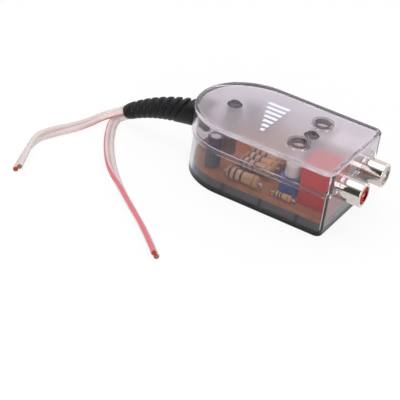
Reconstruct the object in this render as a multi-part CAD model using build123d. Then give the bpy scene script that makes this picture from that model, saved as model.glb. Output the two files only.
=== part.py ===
from build123d import *
import os
from math import cos, pi, radians, sin, sqrt, tan

# A line output converter: speaker-level leads go in at the round end of a clear case, and two phono
# jacks stand out of its flat end. The frame is the case's own: +X runs to the jacks, +Z is up, and
# the origin is the middle of the base's underside. Lengths are millimetres.

# case
corner_radius = 3.0
top_wall = 1.6
top_plate = 2.0
top_edge_radius = 0.8
seam_step = 0.8
lower_wall = 1.2
seam_below_axis = 0.2
tongue_height = 1.35
fit_gap = 0.05

# base
base_floor = 1.3
base_edge_radius = 0.5
panel_inset = 0.5
upstand_height = 3.3
upstand_wall = 1.0
rib_width = 1.2
rib_pitch = 13.8
first_rib_in = 1.9

# circuit board
board_thickness = 1.6
board_inset = 0.2
lead_hole_gap = 0.15
pin_stand_out = 1.3
solder_radius = 0.85
solder_height = 0.8

# screws, their wells in the cover and their pillars on the base
back_screw_behind_can = 1.3
front_screw_ahead = 0.3
pillar_radius = 2.7
pillar_foot_radius = 3.6
pillar_hole_gap = 0.25
well_radius = 2.6
well_depth = 4.1
well_bore = 1.6
well_seat = 1.0
screw_head_radius = 1.5
screw_head_height = 1.1
screw_shank_radius = 0.85
screw_length = 9.0
screw_recess_width = 0.5
screw_recess_depth = 0.6

# level trimmers and the collared holes above them
trimmer_jack_gap = 1.6
trimmer_y = 8.5
collar_radius = 3.9
collar_bore = 2.7
collar_depth = 3.6
collar_stand_out = 0.25
trimmer_side = 6.8
trimmer_height = 6.4
trimmer_corner = 2.0
rotor_radius = 2.6
rotor_height = 4.4
rotor_gap = 0.1
rotor_slot_width = 0.9
rotor_slot_length = 4.0
rotor_slot_depth = 1.2
rotor_shaft_radius = 1.0
rotor_shaft_length = 2.6
shaft_running_gap = 0.05
trimmer_pin_radius = 0.35
trimmer_pin_pitch = 2.5

# phono jacks
jack_y = 8.1
jack_axis_height = 8.8
jack_width = 10.4
jack_depth = 10.4
jack_height = 14.7
jack_wall_gap = 0.3
jack_top_gap = 1.6
barrel_radius = 4.15
barrel_wall = 1.05
barrel_root_step = 0.2
barrel_stand_out = 7.6
barrel_step_gap = 0.1
barrel_seat = 3.0
barrel_hole_gap = 0.1
insulator_recess = 1.2
guide_bore = 1.9
guide_depth = 2.4
contact_bore = 1.65
contact_wall = 0.4
contact_length = 11.5
contact_slot = 0.5
contact_tail_in = 2.2
tag_thickness = 0.5
tag_width = 1.6

# resistors
load_length = 11.5
load_radius = 2.1
load_lead_radius = 0.35
load_lead_pitch = 13.9
load_film_gap = 1.05
load_row_gap = 0.1
outer_row_gap = 4.25
load_wall_gap = 0.3
divider_length = 6.3
divider_radius = 1.15
divider_lead_radius = 0.28
divider_lead_pitch = 9.2
divider_ahead = 0.5
divider_trimmer_gap = 1.8
divider_wall_gap = 1.3
body_stand_off = 0.15
waist_share = 0.9

# capacitors
can_radius = 2.4
sleeve_wall = 0.12
can_height = 11.0
can_stand_off = 0.25
can_load_gap = 3.73
can_wall_gap = 2.4
can_lead_pitch = 2.0
can_lead_radius = 0.25
film_trimmer_gap = 0.8
film_y = 3.4
film_thickness = 2.2
film_width = 5.6
film_height = 6.2
film_stand_off = 0.9
film_lead_pitch = 3.6
film_lead_radius = 0.3

# strain relief at the round end
relief_neck_radius = 3.2
relief_neck_gap = 0.1
relief_cuff_radius = 4.6
relief_cuff_length = 3.4
relief_flange_radius = 4.7
relief_flange_length = 1.8
relief_wall_gap = 0.1
boot_start_tilt = 6.0
boot_bend_radius = 60.0
boot_length = 30.6
boot_rings = 8
bare_tip = 3.2
ring_width = 2.0
first_ring_at = 6.4
ring_start_radius = 4.55
ring_end_radius = 2.95
groove_depth = 0.75
boot_tip_radius = 2.4

# speaker leads: clear twin wire, two round conductors side by side
wire_radius = 0.95
wire_spacing = 1.75
lead_stack = 1.06
lead_roll = 15.0
lead_run_out = 1.7
core_radius = 0.6
core_stand_out = 0.35
tail_radius = 0.8
tail_can_gap = 3.28
tail_reach = 3.35
tail_rows = [-4.8, -1.2, 1.2, 4.8]
tail_straight = 1.1
tail_drop = 1.6
tail_core_radius = 0.4

# worked out from the sizes above: the case is as wide, long and high as what it holds
lower_inset = seam_step
lower_inner = seam_step + lower_wall
load_pitch = 2 * load_radius + load_row_gap
load_rows = [-1.5 * load_pitch, -0.5 * load_pitch, 0.5 * load_pitch, 1.5 * load_pitch]
divider_y = trimmer_y + trimmer_side / 2 + divider_trimmer_gap + divider_radius
inner_half = max(
    load_rows[-1] + 3 * load_radius + outer_row_gap + load_wall_gap,
    divider_y + divider_radius + divider_wall_gap,
)
case_width = 2 * (inner_half + lower_inner)
can_outer = can_radius + sleeve_wall
flange_curve = inner_half - sqrt(inner_half**2 - relief_flange_radius**2)
flange_in = lower_inner + flange_curve + relief_wall_gap + relief_flange_length
case_length = (
    flange_in + tail_reach + tail_can_gap + 2 * can_outer + can_load_gap + load_lead_pitch
    + load_film_gap + film_thickness + film_trimmer_gap + trimmer_side + trimmer_jack_gap
    + jack_depth + jack_wall_gap + lower_inner
)
back_x = -case_length / 2
front_x = case_length / 2
end_centre_x = back_x + case_width / 2
jack_front_x = front_x - lower_inner - jack_wall_gap
jack_back_x = jack_front_x - jack_depth
barrel_end_x = front_x + barrel_stand_out
barrel_step_x = front_x + barrel_step_gap
barrel_root_radius = barrel_radius - barrel_root_step
barrel_back_x = jack_front_x - barrel_seat
trimmer_x = jack_back_x - trimmer_jack_gap - trimmer_side / 2
divider_x = trimmer_x + divider_ahead
film_x = trimmer_x - trimmer_side / 2 - film_trimmer_gap - film_thickness / 2
load_x = film_x - film_thickness / 2 - load_film_gap - load_lead_pitch / 2
load_wall_y = inner_half - load_wall_gap - load_radius
can_x = load_x - load_lead_pitch / 2 - can_load_gap - can_outer
can_y = inner_half - can_wall_gap - can_outer
tail_x = can_x - can_outer - tail_can_gap
screw_places = [(can_x - back_screw_behind_can, 0.0), (trimmer_x + front_screw_ahead, 0.0)]
board_bottom_z = base_floor + upstand_height
board_top_z = board_bottom_z + board_thickness
jack_z = board_top_z + jack_axis_height
relief_z = jack_z
seam_z = jack_z - seam_below_axis
tongue_z = seam_z + tongue_height
jack_top_z = board_top_z + jack_height
plate_z = jack_top_z + jack_top_gap
case_height = plate_z + top_plate
pillar_top_z = case_height - well_depth
well_seat_z = pillar_top_z + well_seat
trimmer_top_z = board_top_z + trimmer_height
pin_end_z = board_bottom_z - pin_stand_out
ring_pitch = (boot_length - bare_tip - first_ring_at) / (boot_rings - 1)
upstand_outer = lower_inner + panel_inset
board_outline = lower_inner + board_inset
barrel_bore = barrel_radius - barrel_wall
insulator_end_x = barrel_end_x - insulator_recess
contact_end_x = insulator_end_x - guide_depth
contact_back_x = contact_end_x - contact_length
contact_radius = contact_bore + contact_wall
sides = {"right": -1, "left": 1}


def d_face(inset, z):
    """The case's outline seen from above, drawn in by inset: a half circle and a square end."""
    half = case_width / 2 - inset
    reach = front_x - inset - end_centre_x
    block = Pos(end_centre_x, 0) * Rectangle(reach, 2 * half, align=(Align.MIN, Align.CENTER))
    outline = block + Pos(end_centre_x, 0) * Circle(half)
    corners = outline.vertices().sort_by(Axis.X)[-2:]
    outline = fillet(corners, max(corner_radius - inset, 0.4))
    return Pos(0, 0, z) * outline


def d_block(inset, low, high):
    return extrude(d_face(inset, low), high - low)


def rod_z(x, y, low, high, radius):
    """An upright round bar."""
    return Pos(x, y, low) * Cylinder(radius, high - low, align=(Align.CENTER, Align.CENTER, Align.MIN))


def rod_x(y, z, low, high, radius):
    """A round bar along X."""
    bar = Cylinder(radius, high - low, align=(Align.CENTER, Align.CENTER, Align.MIN))
    return Pos(low, y, z) * Rot(0, 90, 0) * bar


def block(x, y, z):
    """A box from three pairs of low and high."""
    size = Box(x[1] - x[0], y[1] - y[0], z[1] - z[0], align=(Align.MIN, Align.MIN, Align.MIN))
    return Pos(x[0], y[0], z[0]) * size


def wall_slot(y, z, radius, x_low, x_high, toward):
    """A round hole through an end wall that runs open to the seam, so the shells close over it."""
    far = seam_z + toward * tongue_height * 3
    low, high = sorted((z, far))
    channel = block((x_low, x_high), (y - radius, y + radius), (low, high))
    return rod_x(y, z, x_low, x_high, radius) + channel


def end_openings(toward):
    """The openings for the two jacks and the strain relief's neck, open up or down to the seam."""
    cuts = []
    for side in sides.values():
        cuts.append(
            wall_slot(
                side * jack_y, jack_z, barrel_root_radius + barrel_hole_gap,
                front_x - 2 * lower_inner, front_x + 1, toward,
            )
        )
    cuts.append(
        wall_slot(
            0, relief_z, relief_neck_radius + relief_neck_gap,
            back_x - 1, back_x + 2 * lower_inner, toward,
        )
    )
    return cuts


def make_top_cover():
    shell = d_block(0, seam_z, case_height)
    rim = shell.edges().group_by(Axis.Z)[-1]
    shell = fillet(rim, top_edge_radius)
    shell -= d_block(top_wall, seam_z - 1, plate_z)
    shell -= d_block(seam_step - fit_gap, seam_z - 1, tongue_z + fit_gap)
    for side in sides.values():
        collar_low = case_height - collar_depth
        shell += rod_z(
            trimmer_x, side * trimmer_y, collar_low, case_height + collar_stand_out, collar_radius
        )
        shell -= rod_z(trimmer_x, side * trimmer_y, collar_low - 1, case_height + 1, collar_bore)
    for x, y in screw_places:
        shell += rod_z(x, y, pillar_top_z, case_height - top_edge_radius, well_radius)
        shell -= rod_z(x, y, well_seat_z, case_height + 1, well_bore)
        shell -= rod_z(x, y, pillar_top_z - 1, case_height, screw_shank_radius + lead_hole_gap)
    for cut in end_openings(-1):
        shell -= cut
    return shell


def make_lower_shell():
    wall = d_block(lower_inset, base_floor, tongue_z) - d_block(lower_inner, base_floor - 1, tongue_z + 1)
    for cut in end_openings(1):
        wall -= cut
    return wall


def rib_places():
    """Where the upstand's ribs stand, as x, y and the turn of each rib's outward direction."""
    reach = case_width / 2 - upstand_outer
    places = []
    for step in range(3):
        x = end_centre_x + first_rib_in + step * rib_pitch
        places.append((x, reach, 90))
        places.append((x, -reach, -90))
    bend = 90 + (rib_pitch - first_rib_in) / reach * 180 / pi
    for turn in (bend, 180, -bend):
        x = end_centre_x + reach * cos(radians(turn))
        places.append((x, reach * sin(radians(turn)), turn))
    for y in (-rib_pitch / 2, rib_pitch / 2):
        places.append((front_x - upstand_outer, y, 0))
    return places


def make_base_tray():
    floor = d_block(lower_inset, 0, base_floor)
    floor = fillet(floor.edges().group_by(Axis.Z)[0], base_edge_radius)
    upstand = d_block(upstand_outer, base_floor, board_bottom_z)
    upstand -= d_block(upstand_outer + upstand_wall, base_floor, board_bottom_z)
    tray = floor + upstand
    rib_depth = panel_inset - board_inset + upstand_wall / 2
    for x, y, turn in rib_places():
        rib = Box(rib_depth, rib_width, board_bottom_z - base_floor, align=(Align.MIN, Align.CENTER, Align.MIN))
        tray += Pos(x, y, base_floor) * Rot(0, 0, turn) * Pos(-upstand_wall / 2, 0, 0) * rib
    for x, y in screw_places:
        tray += rod_z(x, y, 0.5 * base_floor, board_bottom_z, pillar_foot_radius)
        tray += rod_z(x, y, board_bottom_z - 1, pillar_top_z, pillar_radius)
        bottom = well_seat_z - screw_length - 1
        tray -= rod_z(x, y, bottom, pillar_top_z + 1, screw_shank_radius + fit_gap)
    return tray


def make_case_screws():
    screws = []
    for x, y in screw_places:
        head = rod_z(x, y, well_seat_z, well_seat_z + screw_head_height, screw_head_radius)
        head = fillet(head.edges().group_by(Axis.Z)[-1], screw_head_height * 0.4)
        top = well_seat_z + screw_head_height
        for turn in (0, 90):
            bar = Box(2 * screw_head_radius * 0.62, screw_recess_width, 2 * screw_recess_depth)
            head -= Pos(x, y, top) * Rot(0, 0, turn) * bar
        shank = rod_z(x, y, well_seat_z - screw_length, well_seat_z, screw_shank_radius)
        shank = chamfer(shank.edges().group_by(Axis.Z)[0], screw_shank_radius * 0.6)
        screws.append(head + shank)
    return screws


def lead_pins(points, radius):
    """Upright pins from the board's top through it, as (x, y, radius) for the holes and solder too."""
    return [(x, y, radius) for x, y in points]


def bar_body(length, radius):
    """A leaded resistor's body along X: full at both ends, with a waist between."""
    half = length / 2
    waist = radius * waist_share
    end = length * 0.21
    profile = Polyline(
        (-half, 0), (-half, radius * 0.72), (-half + radius * 0.3, radius),
        (-half + end, radius), (-half + end * 1.35, waist), (half - end * 1.35, waist),
        (half - end, radius), (half - radius * 0.3, radius), (half, radius * 0.72), (half, 0),
        close=True,
    )
    return revolve(make_face(profile), Axis.X)


def bent_leads(x, y, z, body_length, pitch, radius):
    """Two leads that leave the ends of a body along X and turn down through the board."""
    leads = []
    for way in (-1, 1):
        start = (x + way * body_length / 2, y, z)
        corner = (x + way * pitch / 2, y, z)
        foot = (x + way * pitch / 2, y, pin_end_z)
        route = FilletPolyline(start, corner, foot, radius=2 * radius)
        ring = Plane(origin=start, z_dir=(way, 0, 0)) * Circle(radius)
        leads.append(sweep(ring, route))
    return leads


def make_resistor(x, y, length, radius, pitch, lead_radius):
    """A resistor lying on the board, its leads, and where they pass through the board."""
    z = board_top_z + body_stand_off + radius
    body = Pos(x, y, z) * bar_body(length, radius)
    leads = bent_leads(x, y, z, length, pitch, lead_radius)
    feet = [(x - pitch / 2, y), (x + pitch / 2, y)]
    return body, leads, lead_pins(feet, lead_radius)


def make_can_capacitor(side):
    """An upright electrolytic capacitor: its can, its plastic sleeve and its leads."""
    y = side * can_y
    low = board_top_z + can_stand_off
    high = low + can_height
    can = rod_z(can_x, y, low, high, can_radius)
    can = fillet(can.edges().group_by(Axis.Z)[-1], 0.35)
    outer = rod_z(can_x, y, low, high, can_radius + sleeve_wall)
    lip = rod_z(can_x, y, high, high + sleeve_wall, can_radius + sleeve_wall)
    lip -= rod_z(can_x, y, high - 1, high + 1, can_radius * 0.72)
    sleeve = outer - rod_z(can_x, y, low - 1, high + 1, can_radius) + lip
    feet = [(can_x + way * can_lead_pitch / 2, y) for way in (-1, 1)]
    leads = [rod_z(x, foot_y, pin_end_z, low, can_lead_radius) for x, foot_y in feet]
    return can, sleeve, leads, lead_pins(feet, can_lead_radius)


def make_film_capacitor(side):
    """A dipped capacitor standing on two leads."""
    y = side * film_y
    low = board_top_z + film_stand_off
    body = Pos(film_x, y, low + film_height / 2) * Box(film_thickness, film_width, film_height)
    body = fillet(body.edges().filter_by(Axis.X), 1.2)
    body = fillet(body.edges(), 0.7)
    feet = [(film_x, y + way * film_lead_pitch / 2) for way in (-1, 1)]
    leads = [rod_z(x, foot_y, pin_end_z, low, film_lead_radius) for x, foot_y in feet]
    return body, leads, lead_pins(feet, film_lead_radius)


def make_trimmer(side):
    """A level trimmer: its body, its turning rotor, its pins and where they pass the board."""
    y = side * trimmer_y
    half = trimmer_side / 2
    body = block(
        (trimmer_x - half, trimmer_x + half), (y - half, y + half), (board_top_z, trimmer_top_z)
    )
    body = fillet(body.edges().filter_by(Axis.Z), trimmer_corner)
    body = fillet(body.edges().group_by(Axis.Z)[-1], 0.25)
    shaft_hole = rotor_shaft_radius + shaft_running_gap
    hole_low = trimmer_top_z - rotor_shaft_length - rotor_gap
    body -= rod_z(trimmer_x, y, hole_low, trimmer_top_z + 1, shaft_hole)
    low = trimmer_top_z + rotor_gap
    high = low + rotor_height
    rotor = rod_z(trimmer_x, y, low, high, rotor_radius)
    rotor = chamfer(rotor.edges().group_by(Axis.Z)[-1], 0.3)
    rotor += rod_z(trimmer_x, y, low - rotor_shaft_length, low, rotor_shaft_radius)
    rotor -= Pos(trimmer_x, y, high) * Box(rotor_slot_length, rotor_slot_width, 2 * rotor_slot_depth)
    pointer = Pos(trimmer_x + rotor_radius, y, high) * Rot(0, 0, 45) * Box(1.2, 1.2, rotor_slot_depth)
    rotor -= pointer
    feet = [
        (trimmer_x - trimmer_pin_pitch, y),
        (trimmer_x + trimmer_pin_pitch, y - trimmer_pin_pitch),
        (trimmer_x + trimmer_pin_pitch, y + trimmer_pin_pitch),
    ]
    pins = [rod_z(x, foot_y, pin_end_z, board_top_z, trimmer_pin_radius) for x, foot_y in feet]
    return body, rotor, pins, lead_pins(feet, trimmer_pin_radius)


def make_jack(side):
    """A phono jack: housing, barrel, insulator, contact sleeve, ground tag and their board pins."""
    y = side * jack_y
    half = jack_width / 2
    barrel = rod_x(y, jack_z, barrel_step_x, barrel_end_x, barrel_radius)
    barrel = fillet(barrel.edges().group_by(Axis.X)[-1], 0.3)
    barrel += rod_x(y, jack_z, barrel_back_x, barrel_step_x, barrel_root_radius)
    barrel -= rod_x(y, jack_z, barrel_back_x - 1, barrel_end_x + 1, barrel_bore)

    insulator = rod_x(y, jack_z, barrel_back_x, insulator_end_x, barrel_bore)
    insulator -= rod_x(y, jack_z, contact_end_x - 1, insulator_end_x + 1, guide_bore)
    insulator -= rod_x(y, jack_z, contact_back_x, contact_end_x, contact_radius)

    contact = rod_x(y, jack_z, contact_back_x, contact_end_x, contact_radius)
    contact -= rod_x(y, jack_z, contact_back_x + contact_wall, contact_end_x + 1, contact_bore)
    slit = (contact_back_x + 2, contact_end_x + 1)
    contact -= block(slit, (y - contact_slot / 2, y + contact_slot / 2), (jack_z, jack_z + contact_radius))
    tail_x_low = jack_back_x + contact_tail_in
    strip = (y - tag_width / 2, y + tag_width / 2)
    contact += block(
        (tail_x_low, contact_back_x + contact_wall), strip,
        (jack_z - tag_thickness / 2, jack_z + tag_thickness / 2),
    )
    tail_x = (tail_x_low, tail_x_low + tag_thickness)
    contact += block(tail_x, strip, (pin_end_z, jack_z))
    insulator -= contact

    tag_x = (barrel_back_x - tag_thickness, barrel_back_x)
    tag = rod_x(y, jack_z, *tag_x, barrel_root_radius)
    tag -= rod_x(y, jack_z, tag_x[0] - 1, tag_x[1] + 1, barrel_bore)
    tag += block(tag_x, strip, (pin_end_z, jack_z - barrel_bore))

    housing = block((jack_back_x, jack_front_x), (y - half, y + half), (board_top_z, jack_top_z))
    housing = fillet(housing.edges().filter_by(Axis.X), 0.6)
    housing = fillet(housing.edges().group_by(Axis.X)[-1], 0.3)
    housing -= rod_x(y, jack_z, tag_x[0], jack_front_x + 1, barrel_root_radius)
    housing -= rod_x(y, jack_z, contact_back_x, barrel_back_x, contact_radius)
    housing -= block(tag_x, strip, (board_top_z - 1, jack_z))
    housing -= block((tail_x_low, barrel_back_x), strip, (board_top_z - 1, jack_z + tag_thickness / 2))
    feet = [(sum(tail_x) / 2, y), (sum(tag_x) / 2, y)]
    pin_reach = sqrt(tag_width**2 + tag_thickness**2) / 2
    return housing, barrel, insulator, contact, tag, lead_pins(feet, pin_reach)


def boot_plane(at):
    """The plane across the boot's bent axis, at a length along it from the case's end wall."""
    turn = radians(boot_start_tilt) + at / boot_bend_radius
    start = radians(boot_start_tilt)
    x = back_x - boot_bend_radius * (sin(turn) - sin(start))
    z = relief_z - boot_bend_radius * (cos(start) - cos(turn))
    return Plane(origin=(x, 0, z), x_dir=(0, 1, 0), z_dir=(-cos(turn), 0, -sin(turn)))


def make_strain_relief():
    """A ribbed boot that grips the case's end wall between its cuff and its inner flange."""
    flange_x = back_x + flange_in - relief_flange_length
    cuff_x = back_x - relief_wall_gap
    relief = rod_x(0, relief_z, flange_x, flange_x + relief_flange_length, relief_flange_radius)
    relief = fillet(relief.edges().group_by(Axis.X)[-1], 0.5)
    relief += rod_x(0, relief_z, cuff_x - relief_cuff_length, flange_x, relief_neck_radius)
    cuff = rod_x(0, relief_z, cuff_x - relief_cuff_length, cuff_x, relief_cuff_radius)
    relief += fillet(cuff.edges(), 0.35)

    last_ring_at = first_ring_at + (boot_rings - 1) * ring_pitch
    taper = (ring_start_radius - ring_end_radius) / (last_ring_at - first_ring_at)
    middle = [first_ring_at + share * (last_ring_at - first_ring_at) for share in (0, 0.5, 1)]
    stations = [relief_cuff_length * 0.8] + middle + [boot_length]
    rings = []
    for at in stations[:-1]:
        radius = ring_start_radius - taper * (at - first_ring_at) - groove_depth
        rings.append(boot_plane(at) * Circle(radius))
    rings.append(boot_plane(stations[-1]) * Circle(boot_tip_radius))
    relief += loft(rings)
    for index in range(boot_rings):
        at = first_ring_at + index * ring_pitch
        radius = ring_start_radius - taper * (at - first_ring_at)
        ring = Cylinder(radius, ring_width, align=(Align.CENTER, Align.CENTER, Align.CENTER))
        ring = fillet(ring.edges(), 0.55)
        relief += boot_plane(at).location * ring
    return relief, flange_x + relief_flange_length


def corner_radii(route):
    """As large an arc at each corner of a route as its two runs allow."""
    radii = []
    points = [Vector(*point) for point in route]
    for before, here, after in zip(points, points[1:], points[2:]):
        turn = radians((here - before).get_angle(after - here))
        shorter = min((here - before).length, (after - here).length)
        radii.append(0.45 * shorter / tan(turn / 2))
    return radii


def make_lead_tails(start_x):
    """The four wires inside the case, from the strain relief's flange down to the board."""
    tails = {"right": [], "left": []}
    feet = []
    for y in tail_rows:
        start_y = (-1, 1)[y > 0] * lead_stack
        start_z = relief_z + (-1, 1)[abs(y) < tail_rows[-1]] * lead_stack
        route = [
            (start_x, start_y, start_z),
            (start_x + tail_straight, start_y, start_z),
            (tail_x, y, start_z - tail_drop),
            (tail_x, y, board_top_z),
        ]
        path = FilletPolyline(*route, radius=corner_radii(route))
        wire = sweep(Plane(origin=route[0], z_dir=(1, 0, 0)) * Circle(tail_radius), path)
        core = rod_z(tail_x, y, pin_end_z, board_top_z, tail_core_radius)
        tails["right" if y < 0 else "left"].append(wire + core)
        feet.append((tail_x, y))
    return tails, lead_pins(feet, tail_core_radius)


def make_board(pins):
    board = d_block(board_outline, board_bottom_z, board_top_z)
    for x, y in screw_places:
        board -= rod_z(x, y, board_bottom_z - 1, board_top_z + 1, pillar_radius + pillar_hole_gap)
    holes = [rod_z(x, y, board_bottom_z - 1, board_top_z + 1, r + lead_hole_gap) for x, y, r in pins]
    return board - holes


def make_solder(pins):
    joints = []
    for x, y, radius in pins:
        foot = max(solder_radius, radius + 0.35)
        cone = Cone(
            radius + 0.15, foot, solder_height, align=(Align.CENTER, Align.CENTER, Align.MAX)
        )
        pin = rod_z(x, y, pin_end_z - 1, board_top_z, radius)
        joints.append(Pos(x, y, board_bottom_z) * cone - pin)
    return joints


# The right lead turns back toward the jacks, the left one runs out to the side; both come down from
# the boot's tip, the left one above the right, and lie on the table.
tip = boot_plane(boot_length)
across = tip.y_dir * cos(radians(lead_roll)) + tip.x_dir * sin(radians(lead_roll))
right_start = tip.origin + across * lead_stack
left_start = tip.origin - across * lead_stack
run_out = tip.z_dir * lead_run_out
floor_z = wire_radius
right_lead_route = [
    tuple(right_start),
    tuple(right_start + run_out),
    (-60.7, -1.8, 1.34),
    (-59.9, -5.5, floor_z),
    (-57.4, -10.6, floor_z),
    (-53.4, -17.4, floor_z),
    (-47.4, -25.6, floor_z),
    (-40.0, -33.8, floor_z),
    (-31.2, -41.4, floor_z),
    (-21.8, -48.8, floor_z),
    (-12.8, -56.0, floor_z),
    (-5.0, -63.4, floor_z),
]
left_lead_route = [
    tuple(left_start),
    tuple(left_start + run_out),
    (-62.3, -3.5, 3.3),
    (-65.2, -5.8, 1.6),
    (-66.6, -11.6, floor_z),
    (-68.4, -18.2, floor_z),
    (-70.9, -25.0, floor_z),
    (-72.6, -31.2, floor_z),
    (-71.5, -37.2, floor_z),
    (-69.0, -43.8, floor_z),
    (-65.8, -51.6, floor_z),
]


def twin_section(plane):
    """The figure of eight of a twin lead: two round conductors joined by a web."""
    half = wire_spacing / 2
    pair = Pos(-half, 0) * Circle(wire_radius) + Pos(half, 0) * Circle(wire_radius)
    return plane * (pair + Rectangle(wire_spacing, wire_radius * 0.7))


def make_lead(route):
    """A twin lead along its route, with the cut ends of its two cores.

    It is drawn from its far end, where it lies flat on the table."""
    radii = corner_radii(route)
    print("lead corner radii", [round(radius, 1) for radius in radii])
    path = FilletPolyline(*reversed(route), radius=radii[::-1])
    inward = Vector(*route[-2]) - Vector(*route[-1])
    end = Plane(origin=route[-1], x_dir=inward.cross(Vector(0, 0, 1)), z_dir=inward)
    lead = sweep(twin_section(end), path)
    cores = []
    for way in (-1, 1):
        core = Cylinder(core_radius, core_stand_out, align=(Align.CENTER, Align.CENTER, Align.MAX))
        cores.append(end.location * Pos(way * wire_spacing / 2, 0, 0) * core)
    volume = twin_section(Plane.XY).area * path.length
    print("lead length", round(path.length, 1), "volume share", round(lead.volume / volume, 3))
    return lead, cores


nodes = {}
pins = []
nodes["top_cover"] = make_top_cover()
nodes["lower_shell"] = make_lower_shell()
nodes["base_tray"] = make_base_tray()
nodes["case_screws"] = make_case_screws()
for index, y in enumerate([-load_wall_y] + load_rows + [load_wall_y]):
    body, leads, feet = make_resistor(
        load_x, y, load_length, load_radius, load_lead_pitch, load_lead_radius
    )
    nodes[f"load_resistor_{index + 1}"] = body
    nodes[f"load_resistor_{index + 1}_leads"] = leads
    pins += feet
for name, side in sides.items():
    housing, barrel, insulator, contact, tag, feet = make_jack(side)
    nodes[f"{name}_jack_housing"] = housing
    nodes[f"{name}_jack_barrel"] = barrel
    nodes[f"{name}_jack_insulator"] = insulator
    nodes[f"{name}_jack_contact"] = contact
    nodes[f"{name}_jack_ground_tag"] = tag
    pins += feet
    body, rotor, legs, feet = make_trimmer(side)
    nodes[f"{name}_trimmer_base"] = body
    nodes[f"{name}_trimmer_rotor"] = rotor
    nodes[f"{name}_trimmer_pins"] = legs
    pins += feet
    body, leads, feet = make_resistor(
        divider_x, side * divider_y, divider_length, divider_radius,
        divider_lead_pitch, divider_lead_radius,
    )
    nodes[f"{name}_divider_resistor"] = body
    nodes[f"{name}_divider_resistor_leads"] = leads
    pins += feet
    can, sleeve, leads, feet = make_can_capacitor(side)
    nodes[f"{name}_capacitor_can"] = can
    nodes[f"{name}_capacitor_sleeve"] = sleeve
    nodes[f"{name}_capacitor_leads"] = leads
    pins += feet
    body, leads, feet = make_film_capacitor(side)
    nodes[f"{name}_film_capacitor"] = body
    nodes[f"{name}_film_capacitor_leads"] = leads
    pins += feet
nodes["strain_relief"], tails_x = make_strain_relief()
tails, feet = make_lead_tails(tails_x)
for name, wires in tails.items():
    nodes[f"{name}_lead_tails"] = wires
pins += feet
nodes["circuit_board"] = make_board(pins)
nodes["solder_joints"] = make_solder(pins)
for name, route in (("right", right_lead_route), ("left", left_lead_route)):
    lead, cores = make_lead(route)
    nodes[f"{name}_speaker_lead"] = lead
    nodes[f"{name}_lead_cores"] = cores

os.makedirs("parts", exist_ok=True)
for name, shape in nodes.items():
    group = shape if isinstance(shape, list) else [shape]
    solids = [solid for piece in group for solid in piece.solids()]
    export_step(Compound(children=solids) if len(solids) > 1 else solids[0], f"parts/{name}.step")
print(len(nodes), "nodes")
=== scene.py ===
# %% [markdown]
# # A line output converter, dressed for its picture
#
# The real object is a small clear box that turns a car radio's speaker signal into a phono signal. Its
# solids come packed from the CAD, already in their places, in metres: +X runs to the phono jacks, +Z is
# up and the base's underside is the floor at zero. This notebook gives them their finishes, adds what is
# too fine for the solids, and sets up the camera and the light.

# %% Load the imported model
import math

import bmesh
import bpy
from mathutils import Matrix, Vector


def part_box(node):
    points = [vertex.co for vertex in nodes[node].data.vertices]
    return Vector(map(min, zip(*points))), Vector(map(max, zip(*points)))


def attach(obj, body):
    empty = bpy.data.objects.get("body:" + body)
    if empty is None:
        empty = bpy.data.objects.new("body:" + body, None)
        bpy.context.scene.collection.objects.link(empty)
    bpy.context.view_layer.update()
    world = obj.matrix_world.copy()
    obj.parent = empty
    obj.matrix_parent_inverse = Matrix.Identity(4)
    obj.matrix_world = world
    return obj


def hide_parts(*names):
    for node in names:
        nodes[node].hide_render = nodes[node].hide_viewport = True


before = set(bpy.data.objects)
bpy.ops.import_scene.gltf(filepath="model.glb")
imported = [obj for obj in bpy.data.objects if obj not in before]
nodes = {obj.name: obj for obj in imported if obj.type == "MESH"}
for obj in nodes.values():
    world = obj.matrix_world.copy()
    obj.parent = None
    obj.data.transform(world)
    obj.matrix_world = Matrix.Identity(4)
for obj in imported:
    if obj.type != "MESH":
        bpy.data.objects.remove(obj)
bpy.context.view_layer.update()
MM = 0.001
print("solids loaded:", len(nodes))

# %% [markdown]
# ## Camera
# The jack barrels are 8.3 mm across, and their place in the photograph fixes the camera: half a metre
# away, from the front and to the right of the case, with the frame rolled by ten degrees. A camera could
# be turned by three angles, but its own axes are worked out here, because the roll is then one line.

# %% Camera
bpy.context.scene.view_settings.view_transform = "Standard"
CAMERA_AZIMUTH = math.radians(23.84)
CAMERA_HEIGHT = math.radians(31.02)
CAMERA_ROLL = math.radians(10.05)
CAMERA_DISTANCE = 0.5
CAMERA_LENS = 133.7
CAMERA_SHIFT = (-0.172, -0.0425)

level = math.cos(CAMERA_HEIGHT)
back = Vector(
    (math.sin(CAMERA_AZIMUTH) * level, -math.cos(CAMERA_AZIMUTH) * level, math.sin(CAMERA_HEIGHT))
)
across = (-back).cross(Vector((0, 0, 1))).normalized()
upward = across.cross(-back)
right_hand = math.cos(CAMERA_ROLL) * across + math.sin(CAMERA_ROLL) * upward
top_side = -math.sin(CAMERA_ROLL) * across + math.cos(CAMERA_ROLL) * upward

camera_data = bpy.data.cameras.new("camera")
camera_data.lens = CAMERA_LENS
camera_data.sensor_width = 36.0
camera_data.shift_x, camera_data.shift_y = CAMERA_SHIFT
camera_data.clip_start = 0.01
camera_data.clip_end = 20.0
camera = bpy.data.objects.new("camera", camera_data)
bpy.context.scene.collection.objects.link(camera)
turn = Matrix((right_hand, top_side, back)).transposed().to_4x4()
camera.matrix_world = Matrix.Translation(back * CAMERA_DISTANCE) @ turn
bpy.context.scene.camera = camera
print("camera", [round(value, 3) for value in camera.location])

# %% [markdown]
# ## A small language for shader maths
# A material is a graph of nodes, and its masks are sums. This class wraps one output socket, so that a
# sum can be written as Python, and `Shader.node` adds every other kind of node.


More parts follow.
